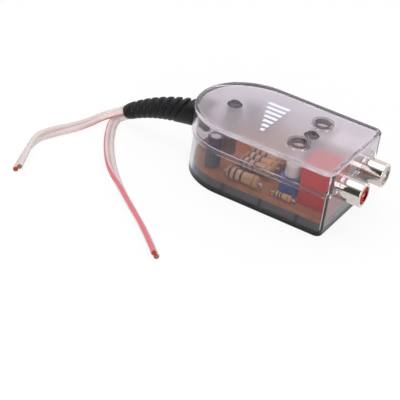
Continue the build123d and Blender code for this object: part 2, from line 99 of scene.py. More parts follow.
# %% Socket arithmetic
class Socket:
    """One output of a node, with arithmetic that adds Math nodes."""

    def __init__(self, shader, output):
        self.shader = shader
        self.output = output

    def _math(self, operation, *values):
        return self.shader.node("ShaderNodeMath", {"operation": operation}, *values)

    def __add__(self, other):
        return self._math("ADD", self, other)

    def __radd__(self, other):
        return self._math("ADD", other, self)

    def __sub__(self, other):
        return self._math("SUBTRACT", self, other)

    def __rsub__(self, other):
        return self._math("SUBTRACT", other, self)

    def __mul__(self, other):
        return self._math("MULTIPLY", self, other)

    def __rmul__(self, other):
        return self._math("MULTIPLY", other, self)

    def __abs__(self):
        return self._math("ABSOLUTE", self)

    def root(self):
        return self._math("SQRT", self)

    def sine(self):
        return self._math("SINE", self)

    def least(self, other):
        return self._math("MINIMUM", self, other)

    def most(self, other):
        return self._math("MAXIMUM", self, other)

    def step(self, low, high):
        """0 below low, 1 above high, with a smooth way between."""
        settings = {"interpolation_type": "SMOOTHSTEP", "clamp": True}
        return self.shader.node("ShaderNodeMapRange", settings, self, low, high, 0.0, 1.0)

    def band(self, low, high, soft):
        """1 between low and high, 0 outside them."""
        return self.step(low - soft, low + soft) * (1 - self.step(high - soft, high + soft))


print("sockets can be added, multiplied and stepped")


# %% Shader builder
def in_use(sockets):
    """The sockets that a node's settings leave enabled."""
    return [socket for socket in sockets if socket.enabled]


class Shader:
    """A material being built, or the world."""

    def __init__(self, name, world=None):
        self.material = world or bpy.data.materials.new(name)
        self.material.use_nodes = True
        self.tree = self.material.node_tree
        self.tree.nodes.clear()
        self.output = self.tree.nodes.new("ShaderNodeOutputWorld" if world else "ShaderNodeOutputMaterial")

    def connect(self, value, socket):
        if isinstance(value, Socket):
            self.tree.links.new(value.output, socket)
        else:
            socket.default_value = value

    def node(self, kind, settings=None, *values, out=None, **named):
        """Add a node, set its settings, then its sockets by place or by name."""
        made = self.tree.nodes.new(kind)
        for key, value in (settings or {}).items():
            setattr(made, key, value)
        for socket, value in zip(in_use(made.inputs), values):
            self.connect(value, socket)
        for key, value in named.items():
            self.connect(value, made.inputs[key.replace("_", " ")])
        return Socket(self, made.outputs[out] if out else in_use(made.outputs)[0])

    def split(self, vector):
        """The x, y and z of a vector."""
        parted = self.node("ShaderNodeSeparateXYZ", None, vector).output.node
        return [Socket(self, parted.outputs[axis]) for axis in "XYZ"]

    def place(self):
        """Object coordinates as a vector and as x, y and z, in metres."""
        coordinates = self.node("ShaderNodeTexCoord", out="Object")
        return coordinates, *self.split(coordinates)

    def attribute(self, name):
        return self.node("ShaderNodeAttribute", {"attribute_name": name}, out="Fac")

    def noise(self, coordinates, scale, detail=3.0):
        return self.node("ShaderNodeTexNoise", None, Vector=coordinates, Scale=scale, Detail=detail)

    def mix(self, factor, first, second):
        """A colour between two."""
        return self.node("ShaderNodeMix", {"data_type": "RGBA"}, factor, first, second)

    def bump(self, height, distance, strength=1.0):
        return self.node("ShaderNodeBump", None, Height=height, Distance=distance, Strength=strength)

    def principled(self, **named):
        return self.node("ShaderNodeBsdfPrincipled", None, **named)

    def blend(self, factor, first, second):
        """A shader between two."""
        return self.node("ShaderNodeMixShader", None, factor, first, second)

    def finish(self, surface):
        self.tree.links.new(surface.output, self.output.inputs["Surface"])
        return self.material


print("shader builder ready")


# %% Colours
def rgb(red, green, blue):
    """A colour as a picture editor gives it, 0 to 255, as the linear one that a shader takes."""
    linear = []
    for value in (red, green, blue):
        share = value / 255
        linear.append(share / 12.92 if share <= 0.04045 else ((share + 0.055) / 1.055) ** 2.4)
    return (*linear, 1.0)


print("mid grey is", [round(value, 3) for value in rgb(128, 128, 128)[:3]])

# %% [markdown]
# ## Speaker leads
# Each lead is clear twin wire: two conductors side by side in one figure of eight, one with a red trace.
# Its line is a NURBS curve with the same points as the CAD's route, so it bends smoothly. A bevelled
# curve would do for a round wire. This one isn't round, so a section is carried along the line, from a
# level start at the cut end and with as little turning as it can. The real leads' turning is added later.

# %% The wire's section and the leads' routes
WIRE_RADIUS = 0.95 * MM
WIRE_SPACING = 1.75 * MM
FLOOR_LINE = WIRE_RADIUS / MM
right_route = [
    (-57.24, 0.27, 3.51),
    (-58.63, 0.27, 2.53),
    (-60.7, -1.8, 1.34),
    (-59.9, -5.5, FLOOR_LINE),
    (-57.4, -10.6, FLOOR_LINE),
    (-53.4, -17.4, FLOOR_LINE),
    (-47.4, -25.6, FLOOR_LINE),
    (-40.0, -33.8, FLOOR_LINE),
    (-31.2, -41.4, FLOOR_LINE),
    (-21.8, -48.8, FLOOR_LINE),
    (-12.8, -56.0, FLOOR_LINE),
    (-5.0, -63.4, FLOOR_LINE),
]
left_route = [
    (-58.42, -0.27, 5.18),
    (-59.81, -0.27, 4.2),
    (-62.3, -3.5, 3.3),
    (-65.2, -5.8, 1.6),
    (-66.6, -11.6, FLOOR_LINE),
    (-68.4, -18.2, FLOOR_LINE),
    (-70.9, -25.0, FLOOR_LINE),
    (-72.6, -31.2, FLOOR_LINE),
    (-71.5, -37.2, FLOOR_LINE),
    (-69.0, -43.8, FLOOR_LINE),
    (-65.8, -51.6, FLOOR_LINE),
]
print("route points:", len(right_route), len(left_route), "lying at", FLOOR_LINE, "mm")

# %% A line along a route, and the frames that a section follows
STEPS_PER_POINT = 14


def line_along(name, route):
    """The points of a NURBS line along a route, in metres."""
    curve = bpy.data.curves.new(name, "CURVE")
    curve.dimensions = "3D"
    spline = curve.splines.new("NURBS")
    spline.points.add(len(route) - 1)
    for point, (x, y, z) in zip(spline.points, route):
        point.co = (x * MM, y * MM, z * MM, 1.0)
    spline.order_u = 3
    spline.use_endpoint_u = True
    spline.resolution_u = STEPS_PER_POINT
    holder = bpy.data.objects.new(name, curve)
    bpy.context.scene.collection.objects.link(holder)
    bpy.context.view_layer.update()
    sampled = bpy.data.meshes.new_from_object(holder.evaluated_get(bpy.context.evaluated_depsgraph_get()))
    line = [vertex.co.copy() for vertex in sampled.vertices]
    bpy.data.objects.remove(holder)
    bpy.data.meshes.remove(sampled)
    return line


def frames_along(line):
    """A matrix at each point, its Z along the line and its X level with the table at the far end."""
    headings = [(after - before).normalized() for before, after in zip(line, line[1:])]
    headings.append(headings[-1])
    ahead = headings[-1]
    side = ahead.cross(Vector((0, 0, 1))).normalized()
    made = []
    for point, heading in zip(reversed(line), reversed(headings)):
        side = ahead.rotation_difference(heading) @ side
        side = (side - heading * side.dot(heading)).normalized()
        ahead = heading
        turn = Matrix((side, heading.cross(side), heading)).transposed().to_4x4()
        made.append(Matrix.Translation(point) @ turn)
    return made[::-1]


def length_of(line):
    return sum((after - before).length for before, after in zip(line, line[1:]))


lines = {"right": line_along("right_line", right_route), "left": line_along("left_line", left_route)}
for side, line in lines.items():
    print(side, "lead is", round(length_of(line) / MM, 1), "mm long in", len(line), "points")


# %% Objects from meshes
def link(mesh_bm, name, material, body=None):
    """Make an object of a bmesh, give it its material and the body that it rides on, if any."""
    mesh = bpy.data.meshes.new(name)
    mesh_bm.to_mesh(mesh)
    mesh_bm.free()
    piece = bpy.data.objects.new(name, mesh)
    bpy.context.scene.collection.objects.link(piece)
    piece.data.materials.append(material)
    if body:
        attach(piece, body)
    return piece


def smooth(piece, angle):
    """Shade a piece smooth up to an angle between its faces, in degrees."""
    piece.data.shade_smooth()
    piece.data.set_sharp_from_angle(angle=math.radians(angle))
    return piece


print("pieces can be linked and smoothed")


# %% Carry a section along the frames
def sweep(ring_maker, frames):
    """Extrude a closed ring of edges from frame to frame, and close both ends."""
    mesh_bm = bmesh.new()
    ring_maker(mesh_bm)
    bmesh.ops.transform(mesh_bm, matrix=frames[0], verts=mesh_bm.verts)
    ring = list(mesh_bm.edges)
    bmesh.ops.contextual_create(mesh_bm, geom=ring)
    for before, after in zip(frames, frames[1:]):
        grown = bmesh.ops.extrude_edge_only(mesh_bm, edges=ring)["geom"]
        ring = [item for item in grown if isinstance(item, bmesh.types.BMEdge)]
        corners = [item for item in grown if isinstance(item, bmesh.types.BMVert)]
        ring = [edge for edge in ring if all(corner in corners for corner in edge.verts)]
        bmesh.ops.transform(mesh_bm, matrix=after @ before.inverted(), verts=corners)
    bmesh.ops.contextual_create(mesh_bm, geom=ring)
    bmesh.ops.recalc_face_normals(mesh_bm, faces=mesh_bm.faces)
    return mesh_bm


print("a lead is", round((WIRE_SPACING + 2 * WIRE_RADIUS) / MM, 2), "mm wide where it lies flat")

# %% [markdown]
# ## Clear plastics
# The cover and the shell are moulded in clear, faintly smoky plastic. Plain alpha would only fade them,
# so they refract: their edges and corners then draw dark and bright lines by themselves. Shadow rays pass
# straight through, or the lamps would not reach the board. The top's inner face is frosted, except for a
# clear border along the rim. The screw wells and the collars of the level holes are thick rings of
# plastic that look dark from the side: painted shade on the upper part of their walls gives that dark.

# %% The case's outline, and how far a point lies inside it
cover_low, cover_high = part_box("top_cover")
HALF_WIDTH = (cover_high.y - cover_low.y) / 2
END_CENTRE_X = cover_low.x + HALF_WIDTH
FRONT_X = cover_high.x
CORNER_RADIUS = 3 * MM


def depth_inside(x, y):
    """The distance from the case's outline to a point inside it, as a socket."""
    along = (x - END_CENTRE_X).least(0.0)
    from_round_end = HALF_WIDTH - (along * along + y * y).root()
    past_x = x - (FRONT_X - CORNER_RADIUS)
    past_y = abs(y) - (HALF_WIDTH - CORNER_RADIUS)
    corner_x = past_x.most(0.0)
    corner_y = past_y.most(0.0)
    past_corner = (corner_x * corner_x + corner_y * corner_y).root() + past_x.most(past_y).least(0.0)
    return from_round_end.least(CORNER_RADIUS - past_corner)


print("case half width", round(HALF_WIDTH / MM, 2), "round end centred at", round(END_CENTRE_X / MM, 2))

# %% The holes in the cover
SCREW_HEAD_RADIUS = 1.5 * MM
WELL_BORE = 1.6 * MM
COLLAR_BORE = 2.7 * MM
COLLAR_EDGE = 3.8 * MM


def middle_of(name):
    """The middle of a node's box."""
    low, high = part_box(name)
    return (low + high) / 2


def away_from(x, y, places):
    """The distance from the nearest of some upright axes, as a socket."""
    nearest = None
    for place in places:
        dx = x - place[0]
        dy = y - place[1]
        distance = (dx * dx + dy * dy).root()
        nearest = nearest.least(distance) if nearest else distance
    return nearest


screws_low, screws_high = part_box("case_screws")
screw_wells = [(screws_low.x + SCREW_HEAD_RADIUS, 0.0), (screws_high.x - SCREW_HEAD_RADIUS, 0.0)]
level_holes = [middle_of(f"{side}_trimmer_rotor") for side in ("right", "left")]
print("screw wells at x", [round(well[0] / MM, 2) for well in screw_wells])
print("level holes at y", [round(hole.y / MM, 2) for hole in level_holes])

# %% Frosting, and painted shade on the walls
COLLAR_RISE = 0.25 * MM
TOP_THICKNESS = 2 * MM
TOP_Z = cover_high.z - COLLAR_RISE
INNER_Z = TOP_Z - TOP_THICKNESS
FACE_REACH = 0.4 * MM
RIM_FROM = 0.8 * MM
FROST_BORDER = 1.6 * MM
SOFT = 0.1 * MM
FROST_ROUGHNESS = 0.42
FROST_HAZE = 0.08
# The pale haze painted on the clear rim is painted light.
RIM_PAINTED_LIGHT = 0.12
# How strongly painted shade darkens the screw wells, the collars' bores and the collars' top faces.
WELL_PAINTED_SHADE = 0.85
BORE_PAINTED_SHADE = 0.8
COLLAR_PAINTED_SHADE = 0.38
BORE_PALE = 0.75
# The masks of the walls reach a hair past each bore.
HAIR = 0.01 * MM


def frosted_face(x, y, z):
    """Masks of the ground inner face and of the clear rim round it, on which a pale haze is painted light."""
    depth = depth_inside(x, y)
    underside = z.band(INNER_Z - FACE_REACH, INNER_Z + FACE_REACH, SOFT)
    ground = underside * depth.step(FROST_BORDER - 2 * SOFT, FROST_BORDER + 2 * SOFT)
    topside = z.step(TOP_Z - 3 * SOFT, TOP_Z - SOFT)
    rim = topside * (1 - ground) * depth.band(RIM_FROM, FROST_BORDER + SOFT, 1.5 * SOFT)
    return ground, rim


def painted_shade_walls(shader, body, x, y, z, scuffs):
    """The wells and the collars: painted shade near the top, pale lower down in the level holes."""
    dark = shader.principled(Base_Color=rgb(66, 56, 60), Roughness=0.3 + scuffs * 0.1)
    pale = shader.principled(Base_Color=rgb(232, 214, 214), Roughness=0.4 + scuffs * 0.1)
    from_hole = away_from(x, y, level_holes)
    well = 1 - away_from(x, y, screw_wells).step(WELL_BORE + HAIR, WELL_BORE + 6 * HAIR)
    bore = 1 - from_hole.step(COLLAR_BORE + HAIR, COLLAR_BORE + 6 * HAIR)
    face = from_hole.band(COLLAR_BORE + SOFT, COLLAR_EDGE, SOFT) * z.step(TOP_Z - SOFT, TOP_Z)
    near_top = z.step(INNER_Z, INNER_Z + FACE_REACH)
    body = shader.blend(bore * (1 - near_top) * BORE_PALE, body, pale)
    # Painted shade: the walls of the wells and the bores are darkened near the top, and so is the collars'
    # top face.
    painted_shade = (well * WELL_PAINTED_SHADE + bore * BORE_PAINTED_SHADE) * near_top + face * COLLAR_PAINTED_SHADE
    return shader.blend(painted_shade, body, dark)


print("top at", round(TOP_Z / MM, 2), "mm, frosted from", FROST_BORDER / MM, "mm inside the rim")

# %% Clear plastic
CLEAR_HAZE = 0.01


def ray_kind(shader, kind):
    """1 for one kind of ray, 0 for the others."""
    return shader.node("ShaderNodeLightPath", out=f"Is {kind} Ray")


def light_through(shader, tint, body):
    """The body's surface, except that shadow rays pass it and only take its tint."""
    passing = shader.node("ShaderNodeBsdfTransparent", None, tint)
    return shader.blend(ray_kind(shader, "Shadow"), body, passing)


def clear_plastic(name, tint, haze_colour, frosted=False):
    """Refracting plastic with a little haze; frosted adds the cover's ground inner face, a pale painted light
    on its clear rim, and painted shade in its wells and collars.
    """
    shader = Shader(name)
    coordinates, x, y, z = shader.place()
    waviness = shader.noise(coordinates, 90.0, detail=1.0)
    scuffs = shader.noise(coordinates, 900.0, detail=2.0)
    roughness = 0.02 + scuffs * 0.03
    cloud = CLEAR_HAZE + scuffs * 0.02
    if frosted:
        ground, rim = frosted_face(x, y, z)
        roughness = roughness + ground * FROST_ROUGHNESS
        # On the rim the pale haze is painted light, a band that lightens the clear border.
        cloud = cloud + ground * FROST_HAZE + rim * RIM_PAINTED_LIGHT
    normal = shader.bump(waviness, 0.04 * MM, 0.35)
    glass = shader.principled(
        Base_Color=tint, Roughness=roughness, IOR=1.4, Transmission_Weight=1.0, Normal=normal
    )
    hazy = shader.principled(Base_Color=haze_colour, Roughness=0.45)
    body = shader.blend(cloud, glass, hazy)
    if frosted:
        body = painted_shade_walls(shader, body, x, y, z, scuffs)
    return shader.finish(light_through(shader, tint, body))


cover_plastic = clear_plastic("clear cover", rgb(224, 219, 225), rgb(230, 219, 228), frosted=True)
shell_plastic = clear_plastic("clear shell", rgb(212, 209, 214), rgb(176, 172, 178))
print("clear plastics made")

# %% [markdown]
# ## Opaque plastics, lacquer and rubber
# The jacks, trimmers and base are moulded plastic, the film capacitors are dipped, and the boot is rubber.
# Such a surface is never one flat colour: it has a faint cloudiness, and a fine texture that breaks its
# gloss. A picture could carry both, but noise needs no file, so one recipe serves for all of them. The
# base is one solid with three looks, so masks by place make its panels greyer with painted light, for the
# haze of the clear shell in front of them, and its pillars smoky.

# %% Moulded plastic
CLOUD_SHADE = 0.82


def moulded(name, colour, roughness, grain=1500.0, grain_depth=0.01 * MM, coat=0.0, ior=1.45):
    """Moulded plastic: a colour with a slow cloud in it and a fine surface grain."""
    shader = Shader(name)
    coordinates = shader.place()[0]
    slow = shader.noise(coordinates, 140.0, detail=2.0)
    fine = shader.noise(coordinates, grain, detail=2.0)
    darker = (*(value * CLOUD_SHADE for value in colour[:3]), 1.0)
    base = shader.mix(slow.step(0.3, 0.7), colour, darker)
    uneven = roughness - 0.05 + fine * 0.1
    normal = shader.bump(fine, grain_depth)
    surface = shader.principled(Base_Color=base, Roughness=uneven, IOR=ior, Coat_Weight=coat, Normal=normal)
    return shader.finish(surface)


print("recipe for moulded plastic ready")

# %% The base's plastic
PANEL_DEPTH = 2.5 * MM
PANEL_FROM = 1.2 * MM
PILLARS_FROM = 7 * MM
PILLAR_FADE = 5 * MM


def base_plastic():
    """Black plastic, with painted light making the upstand's panels greyer, and natural smoky plastic on the
    pillars.
    """
    shader = Shader("black base")
    coordinates, x, y, z = shader.place()
    fine = shader.noise(coordinates, 1500.0, detail=2.0)
    slow = shader.noise(coordinates, 140.0, detail=2.0)
    panel_haze_light = depth_inside(x, y).step(PANEL_DEPTH - 1.5 * SOFT, PANEL_DEPTH - 0.5 * SOFT)
    panel_haze_light = panel_haze_light * z.step(PANEL_FROM, PANEL_FROM + 3 * SOFT)
    base = shader.mix(slow.step(0.3, 0.7), rgb(30, 28, 31), rgb(24, 22, 25))
    # The panels' grey is painted light: the haze of the clear shell in front of them, laid on the black.
    base = shader.mix(panel_haze_light, base, rgb(78, 76, 78))
    smoky = shader.mix(x.step(-PILLAR_FADE, PILLAR_FADE), rgb(94, 87, 91), rgb(150, 143, 148))
    base = shader.mix(z.step(PILLARS_FROM - SOFT, PILLARS_FROM + SOFT), base, smoky)
    normal = shader.bump(fine, 0.01 * MM)
    surface = shader.principled(Base_Color=base, Roughness=0.3 + fine * 0.1, IOR=1.3, Normal=normal)
    return shader.finish(surface)


base_black = base_plastic()
print("base plastic made")

# %% The other plastics
jack_red = moulded("red jack plastic", rgb(206, 4, 18), 0.35, ior=1.33)
jack_white = moulded("white jack plastic", rgb(236, 232, 226), 0.3, coat=0.3)
trimmer_blue = moulded("blue trimmer body", rgb(66, 94, 164), 0.45)
trimmer_cream = moulded("cream trimmer rotor", rgb(226, 220, 206), 0.4)
film_maroon = moulded(
    "dipped film capacitor", rgb(104, 40, 34), 0.2, grain=500.0, grain_depth=0.03 * MM, coat=0.5
)
boot_black = moulded("black rubber boot", rgb(16, 16, 20), 0.48, grain=2600.0, ior=1.34)
print("moulded plastics made")

# %% [markdown]
# ## Metals
# The jack barrels are polished nickel plate, the component leads are dipped in tin, solder is duller, and
# the screws are blackened steel. Metal has no colour of its own apart from its tint, and shows what
# stands round it, so each of these is a tint, a polish and a faint unevenness, and the light does the rest.


# %% Metals
def metal(name, colour, roughness, grain=700.0, grain_depth=0.004 * MM, stain=None):
    """Metal with an uneven polish, and a stain where the plating has dulled."""
    shader = Shader(name)
    coordinates = shader.place()[0]
    cloud = shader.noise(coordinates, grain)
    patches = shader.noise(coordinates, grain * 0.2).step(0.45, 0.75) * 0.4
    base = shader.mix(patches, colour, stain or colour)
    normal = shader.bump(cloud, grain_depth)
    uneven = roughness + patches * 0.08 + cloud * 0.04
    surface = shader.principled(Base_Color=base, Metallic=1.0, Roughness=uneven, Normal=normal)
    return shader.finish(surface)


nickel = metal("polished nickel", rgb(210, 201, 195), 0.1, stain=rgb(176, 166, 160))
tinned = metal("tinned wire", rgb(214, 210, 202), 0.25, stain=rgb(180, 172, 160))
soldered = metal("solder", rgb(188, 190, 192), 0.32, grain=1800.0, grain_depth=0.02 * MM)
contact_tin = metal("contact spring", rgb(214, 200, 168), 0.28)
can_metal = metal("capacitor can", rgb(222, 222, 224), 0.3, grain=2400.0)
black_steel = metal("blackened screw", rgb(40, 39, 42), 0.4)
bare_copper = metal("bare copper", rgb(178, 76, 56), 0.4, stain=rgb(140, 54, 40))
tinned_copper = metal("tinned copper", rgb(150, 112, 100), 0.4, stain=rgb(118, 82, 70))
print("metals made")

# %% [markdown]
# ## Finishes of single kinds of part
# The resistors are tan lacquer with dark bands. Each could have its own texture map, but all of one size
# lie side by side along X, so one mask on Object X bands them all. The capacitors wear a shrunk sleeve
# with a pale stripe. The board is brown phenolic, with its pressed fibres showing as streaks. The leads'
# insulation is clear but milky in its depth, so a refracting surface and a cloudy one are blended.

# %% Resistor lacquer
BAND_SOFT = 0.06 * MM


def lacquer(name, resistor, bands, half_width):
    """Tan lacquer with dark bands, in millimetres from the end of a resistor that faces the leads."""
    shader = Shader(name)
    coordinates, x, _, _ = shader.place()
    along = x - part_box(resistor)[0].x
    fine = shader.noise(coordinates, 1300.0)
    slow = shader.noise(coordinates, 200.0)
    base = shader.mix(slow.step(0.35, 0.65), rgb(206, 160, 112), rgb(188, 140, 96))
    for middle, colour in bands:
        band = along.band((middle - half_width) * MM, (middle + half_width) * MM, BAND_SOFT)
        base = shader.mix(band, base, colour)
    normal = shader.bump(fine, 0.02 * MM)
    uneven = 0.3 + fine * 0.1
    return shader.finish(shader.principled(Base_Color=base, Roughness=uneven, Coat_Weight=0.4, Normal=normal))


BAND_BROWN = rgb(70, 38, 26)
BAND_BLACK = rgb(36, 30, 30)
BAND_GOLD = rgb(166, 112, 46)
load_bands = [(1.35, BAND_BROWN), (3.25, BAND_BLACK), (5.5, BAND_BROWN), (9.95, BAND_GOLD)]
divider_bands = [(0.75, BAND_BROWN), (1.95, BAND_BLACK), (2.95, BAND_BROWN), (5.45, BAND_GOLD)]
load_lacquer = lacquer("load resistor lacquer", "load_resistor_1", load_bands, half_width=0.42)
divider_lacquer = lacquer(
    "small resistor lacquer", "right_divider_resistor", divider_bands, half_width=0.26
)
print("resistor lacquers made")

# %% Capacitor sleeve
STRIPE_HALF = 0.55 * MM
STRIPE_DEPTH = 1.2 * MM
DASH_PITCH = 2.2 * MM


def shrunk_sleeve():
    """Dark shrink sleeve with a pale stripe down the side that faces the round end."""
    shader = Shader("shrunk sleeve")
    coordinates, x, y, z = shader.place()
    end_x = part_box("right_capacitor_sleeve")[0].x + STRIPE_DEPTH
    sideways = abs(abs(y) - abs(middle_of("right_capacitor_sleeve").y))
    stripe = (1 - sideways.step(STRIPE_HALF, STRIPE_HALF + 0.15 * MM)) * (1 - x.step(end_x, end_x + 0.2 * MM))
    dashes = (z * (2 * math.pi / DASH_PITCH)).sine().step(0.0, 0.3)
    fine = shader.noise(coordinates, 800.0)
    base = shader.mix(stripe * (0.7 + dashes * 0.3), rgb(52, 54, 60), rgb(176, 178, 182))
    base = shader.mix(fine.step(0.4, 0.8) * 0.2, base, rgb(92, 94, 100))
    normal = shader.bump(fine, 0.02 * MM)
    uneven = 0.28 + fine * 0.14
    return shader.finish(shader.principled(Base_Color=base, Roughness=uneven, Normal=normal))


cap_sleeve = shrunk_sleeve()
print("capacitor sleeve made")


# %% Phenolic board
def phenolic():
    """Brown phenolic board, streaked along X."""
    shader = Shader("phenolic board")
    coordinates = shader.place()[0]
    stretched = shader.node("ShaderNodeMapping", None, coordinates, Scale=(0.25, 1.0, 1.0))
    streaks = shader.noise(stretched, 600.0, detail=4.0)
    slow = shader.noise(coordinates, 120.0)
    base = shader.mix(streaks.step(0.3, 0.7), rgb(190, 118, 70), rgb(160, 92, 54))
    base = shader.mix(slow.step(0.45, 0.75) * 0.4, base, rgb(140, 82, 54))
    normal = shader.bump(streaks, 0.015 * MM)
    uneven = 0.4 + streaks * 0.12
    return shader.finish(shader.principled(Base_Color=base, Roughness=uneven, Normal=normal))


board_brown = phenolic()
print("board made")

# %% Lead insulation
WIRE_TINT = rgb(246, 236, 236)


def wire_plastic(name, trace):
    """Clear wire insulation, milky in its depth, with a coloured trace where the mesh says so."""
    shader = Shader(name)
    coordinates = shader.place()[0]
    fine = shader.noise(coordinates, 500.0, detail=2.0)
    slow = shader.noise(coordinates, 90.0)
    milk = shader.mix(slow.step(0.35, 0.65), rgb(240, 230, 228), rgb(230, 216, 214))
    normal = shader.bump(fine, 0.02 * MM, 0.5)
    glass = shader.principled(
        Base_Color=WIRE_TINT, Roughness=0.08 + fine * 0.08, IOR=1.4, Transmission_Weight=1.0, Normal=normal
    )
    cloudy = shader.principled(Base_Color=milk, Roughness=0.3 + fine * 0.1, Normal=normal)
    body = shader.blend(0.6 + slow * 0.16, glass, cloudy)
    if trace:
        line = shader.principled(Base_Color=rgb(206, 66, 84), Roughness=0.35 + fine * 0.1, Normal=normal)
        body = shader.blend(shader.attribute("trace").step(0.2, 0.8) * 0.8, body, line)
    return shader.finish(light_through(shader, WIRE_TINT, body))


wire_clear = wire_plastic("clear wire insulation", trace=True)
tail_clear = wire_plastic("clear wire tails", trace=False)
print("insulation made")

# %% [markdown]
# ## The leads themselves
# The insulation's ring is one circle, opened into the figure of eight, and an attribute on its points marks
# the red trace, because a mask by place would slide off a bent lead. The leads turn about their own line
# as the real ones do: the front one ends half on its edge. Each conductor is a ring with seven lobes that
# turns as it goes, which reads as twisted strands, bare for a little at the cut end.

# %% How a lead turns about its own line
# The turn at either end in degrees, and between which shares of the length it changes.
ROLLS = {"right": (0, -56, 0.34, 0.62), "left": (180, 45, 0.12, 1.0)}


def rolled(frames, line, start, end, low, high):
    """Frames that turn about the line from one angle to another, between two shares of its length.

    A section that stands on its edge needs more height, so it is lifted off the table.
    """
    made = []
    gone = 0.0
    whole = length_of(line)
    for before, here, frame_here in zip([line[0], *line], line, frames):
        gone += (here - before).length
        share = min(max((gone / whole - low) / (high - low), 0.0), 1.0)
        angle = math.radians(start + (end - start) * share * share * (3 - 2 * share))
        lift = Matrix.Translation((0, 0, WIRE_SPACING / 2 * abs(math.sin(angle))))
        made.append(lift @ frame_here @ Matrix.Rotation(angle, 4, "Z"))
    return made


print("turns in degrees", {side: roll[:2] for side, roll in ROLLS.items()})

# %% The insulation's section
# The angle from a conductor's outer side round to where the two circles cross.
WEB_ANGLE = math.pi - math.acos(WIRE_SPACING / 2 / WIRE_RADIUS)
RING_SEGMENTS = 48
# Where the trace lies round its conductor, and its half width.
TRACES = {"right": (math.radians(-14), math.radians(46)), "left": (math.radians(-24), math.radians(26))}


def twin_ring(mesh_bm, trace_angle, trace_half):
    """The figure of eight, with the trace marked on one conductor."""
    marks = mesh_bm.verts.layers.float.new("trace")
    bmesh.ops.create_circle(mesh_bm, segments=RING_SEGMENTS, radius=1.0)
    for corner in mesh_bm.verts:
        toward = 1 if corner.co.x >= 0 else -1
        angle = math.atan2(corner.co.y, abs(corner.co.x)) * WEB_ANGLE / (math.pi / 2)
        corner.co.x = toward * (WIRE_SPACING / 2 + WIRE_RADIUS * math.cos(angle))
        corner.co.y = WIRE_RADIUS * math.sin(angle)
        corner[marks] = float(toward > 0 and abs(angle - trace_angle) < trace_half)


print("the circles cross at", round(math.degrees(WEB_ANGLE)), "degrees")

# %% The strands
STRAND_RADIUS = 0.55 * MM
STRAND_LOBES = 7
STRAND_GROOVE = 0.06
STRAND_LAY = 16 * MM
STRAND_SPREAD = 1.45
BARE_END = 0.35 * MM
conductors = {"copper": (WIRE_SPACING / 2, bare_copper), "tinned": (-WIRE_SPACING / 2, tinned_copper)}


def strand_ring(mesh_bm):
    """A round bundle's outline with one lobe to each outer strand."""
    bmesh.ops.create_circle(mesh_bm, segments=STRAND_LOBES * 6, radius=STRAND_RADIUS)
    for corner in mesh_bm.verts:
        angle = math.atan2(corner.co.y, corner.co.x)
        corner.co *= 1 - STRAND_GROOVE + STRAND_GROOVE * abs(math.cos(angle * STRAND_LOBES / 2))


def twisted(frames, offset):
    """The frames of one conductor, turning as the strands are laid, and spread at the cut end."""
    made = []
    gone = 0.0
    for before, frame_here in zip([frames[0], *frames], frames):
        gone += (frame_here.translation - before.translation).length
        turn = Matrix.Rotation(gone / STRAND_LAY * 2 * math.pi, 4, "Z")
        made.append(frame_here @ Matrix.Translation((offset, 0, 0)) @ turn)
    for end in (-2, -1):
        made[end] = made[end] @ Matrix.Diagonal((STRAND_SPREAD, STRAND_SPREAD, 1, 1))
    return made


print("strands turn once in", STRAND_LAY / MM, "mm")

# %% Both leads
leads = {}
for side, line in lines.items():
    frames = rolled(frames_along(line), line, *ROLLS[side])
    section = sweep(lambda ring: twin_ring(ring, *TRACES[side]), frames)
    wire = smooth(link(section, f"{side}_lead_insulation", wire_clear, "case"), angle=60)
    frames.append(frames[-1] @ Matrix.Translation((0, 0, BARE_END)))
    strands = []
    for kind, (offset, material) in conductors.items():
        bundle = sweep(strand_ring, twisted(frames, offset))
        strands.append(smooth(link(bundle, f"{side}_lead_{kind}_strands", material, "case"), angle=50))
    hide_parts(f"{side}_speaker_lead")
    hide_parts(f"{side}_lead_cores")
    length_of(line)
    leads[side] = [wire, *strands]
print("leads", {side: [piece.name for piece in pieces] for side, pieces in leads.items()})

# %% [markdown]
# ## Strain relief
# The boot is one rubber moulding: an inner flange, a neck through the wall, a cuff, and a tapering tail
# with slanted grooves that are deep on top and fade out underneath. The grooves could be cut out with
# booleans, but one circle carried along the bent axis is cleaner: its plane leans as the grooves do, and
# in a groove it shrinks and drops, so the underside stays full. Its measures below are in millimetres,
# along the boot or in from the case's end.

# %% The boot's measures
BOOT_TILT = math.radians(6)
BEND_RADIUS = 60 * MM
BOOT_Z = 15 * MM
BOOT_LENGTH = 30.6
FLANGE_RADIUS = 4.7
FLANGE_END = 4.55
FLANGE_CHAMFER = 0.5
NECK_RADIUS = 3.2
NECK_INNER = 2.75
NECK_OUTER = -0.1
CUFF_RADIUS = 4.6
CUFF_END = 4.2
CUFF_CHAMFER = 0.3
TIP_FROM = 27.4
TIP_RADIUS = 2.95
TIP_ROUNDING = 0.55
TIP_END_RADIUS = 2.1
EDGE_EASING = 0.05
SHOULDER = 0.01
FIRST_GROOVE_AT = 6.9
GROOVE_PITCH = 2.72
GROOVE_COUNT = 8
GROOVE_HALF = 0.9
GROOVE_RINGS = 9
GROOVE_SHRINK = 0.55
GROOVE_DROP = 0.45
RIB_LEAN = 40
LEAN_FROM = 1.0
LEAN_RISE = 4.2
LEAN_FALL = 22.0
last_groove_at = FIRST_GROOVE_AT + (GROOVE_COUNT - 1) * GROOVE_PITCH
print("grooves from", FIRST_GROOVE_AT, "to", round(last_groove_at, 2), "mm along the boot")


